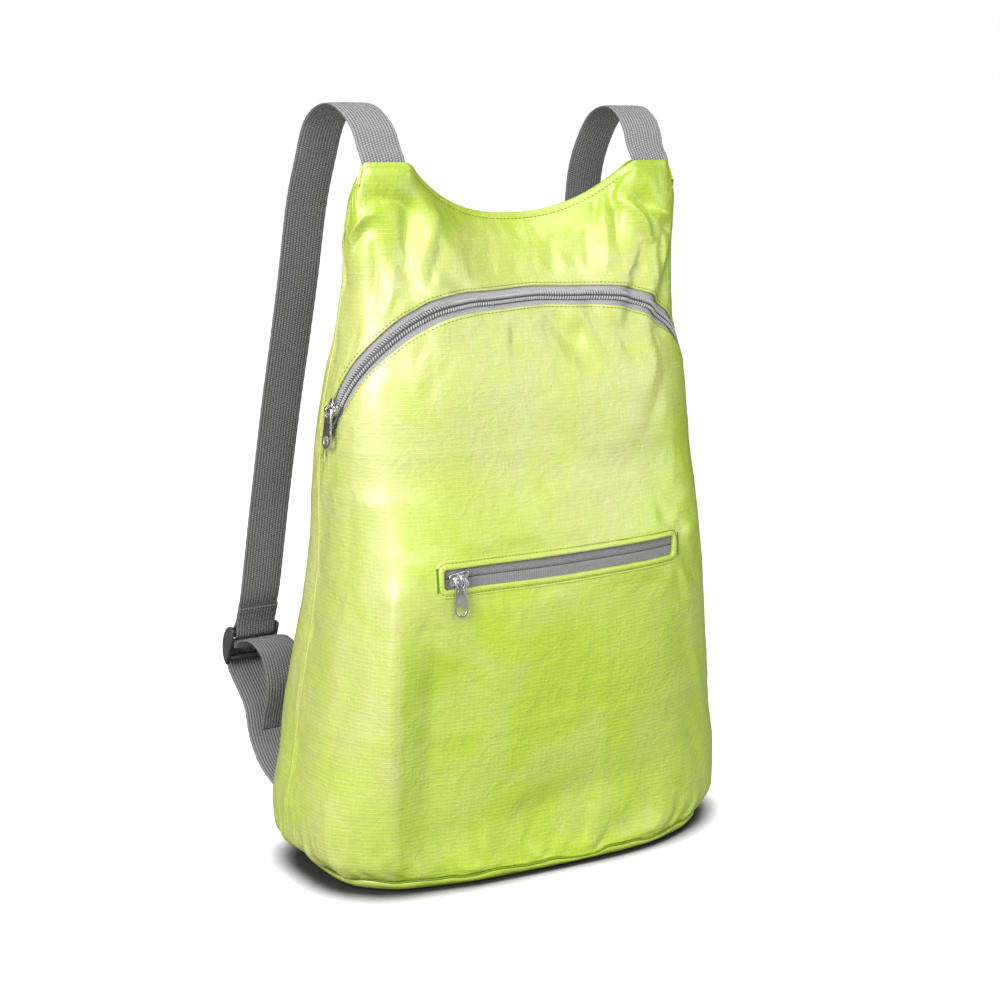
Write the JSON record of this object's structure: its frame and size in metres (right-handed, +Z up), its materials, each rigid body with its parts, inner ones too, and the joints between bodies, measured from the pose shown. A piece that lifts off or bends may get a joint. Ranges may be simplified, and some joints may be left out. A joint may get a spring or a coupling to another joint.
{
  "type": "packable backpack",
  "caption": "Light foldable rucksack of thin ripstop cloth, standing filled out, with an arched main zip, a front pocket zip and webbing shoulder straps with ladder-lock buckles",
  "frame": {"origin": "on the floor, in the flat base, under the middle of the bag", "axes": "+Z up through the neck, -Y to the front with the pocket, +X to the bag's right as seen from the front"},
  "size_m": [0.2702, 0.2077, 0.4271],
  "materials": {
    "ripstop_cloth": "thin lime ripstop nylon with a soft sheen and a fine square grid",
    "zip_tape": "light grey woven zip tape",
    "zip_coil": "light grey nylon coil",
    "pocket_tape": "mid grey reverse coil tape",
    "bright_metal": "nickel plated die-cast metal, lightly rubbed",
    "webbing": "mid grey ribbed webbing",
    "buckle_plastic": "dark grey moulded acetal"
  },
  "bodies": {
    "bag": {"front_panel": "ripstop_cloth", "yoke_panel": "ripstop_cloth", "back_panel": "ripstop_cloth", "base_panel": "ripstop_cloth", "main_zip_tape_upper": "zip_tape", "main_zip_tape_lower": "zip_tape", "main_zip_coil": "zip_coil", "pocket_zip_tape_upper": "pocket_tape", "pocket_zip_tape_lower": "pocket_tape", "main_zip_slider": "bright_metal", "pocket_zip_slider": "bright_metal", "strap_left": "webbing", "adjuster_left": "webbing", "buckle_left": "buckle_plastic", "strap_right": "webbing", "adjuster_right": "webbing", "buckle_right": "buckle_plastic"},
    "main_zip_tab": {"main_zip_pull": "bright_metal"},
    "pocket_zip_tab": {"pocket_zip_pull": "bright_metal"}
  },
  "joints": [
    {"name": "main_pull_swing", "type": "hinge", "parent": "bag", "child": "main_zip_tab", "pos_m": [-0.11601, -0.01759, 0.26804], "axis": [-0.0864, 0.9963, 0], "range_deg": [0, 160]},
    {"name": "pocket_pull_swing", "type": "hinge", "parent": "bag", "child": "pocket_zip_tab", "pos_m": [-0.06722, -0.0716, 0.18115], "axis": [-0.996, 0.0892, 0], "range_deg": [0, 160]}
  ]
}
